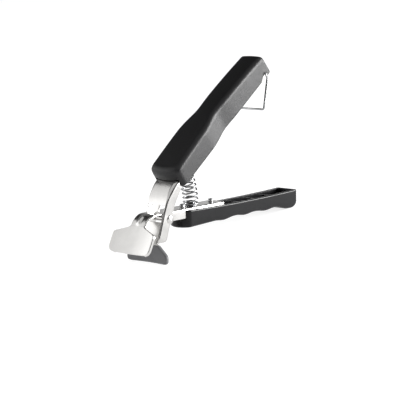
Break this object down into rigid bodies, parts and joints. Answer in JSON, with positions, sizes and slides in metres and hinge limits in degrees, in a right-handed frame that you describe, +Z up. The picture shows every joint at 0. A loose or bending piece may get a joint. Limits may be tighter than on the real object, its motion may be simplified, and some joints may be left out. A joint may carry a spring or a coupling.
{
  "type": "bowl and jar lifting clip",
  "caption": "Sprung steel bowl and jar clip with hollow black handles, a curved front jaw, a sleeved rear jaw and a wire locking loop at the tail, standing open.",
  "frame": {"origin": "on the ground under the middle of the clip's length, on its middle plane", "axes": "+X runs from the jaws back towards the tails of the handles, +Y across the clip along the rivet, +Z up"},
  "size_m": [0.1858, 0.04, 0.1249],
  "materials": {
    "handle_plastic": "fine matte grain",
    "polished_steel": "polished stainless sheet",
    "sleeve_silicone": "matte silicone",
    "wire_steel": "drawn wire",
    "stud_steel": "dark plated"
  },
  "bodies": {
    "lower_body": {"lower_handle": "handle_plastic", "lower_arm": "polished_steel", "pivot_rivet": "polished_steel", "return_spring": "wire_steel", "lower_spring_post": "stud_steel", "lower_handle_screws": "wire_steel"},
    "upper_body": {"upper_handle": "handle_plastic", "upper_arm": "polished_steel", "rear_jaw_sleeve": "sleeve_silicone", "upper_spring_post": "stud_steel", "upper_handle_screws": "wire_steel"},
    "bail": {"wire_bail": "wire_steel"}
  },
  "joints": [
    {"name": "squeeze", "type": "hinge", "parent": "lower_body", "child": "upper_body", "pos_m": [-0.05497, 0, 0.02846], "axis": [0, 1, 0], "range_deg": [0, 28], "stiffness_Nm_per_rad": 0.8, "springref_deg": -28.65, "deforming": ["return_spring"]},
    {"name": "bail_swing", "type": "hinge", "parent": "upper_body", "child": "bail", "pos_m": [0.06544, 0, 0.11146], "axis": [0, 1, 0], "range_deg": [0, 30]}
  ]
}
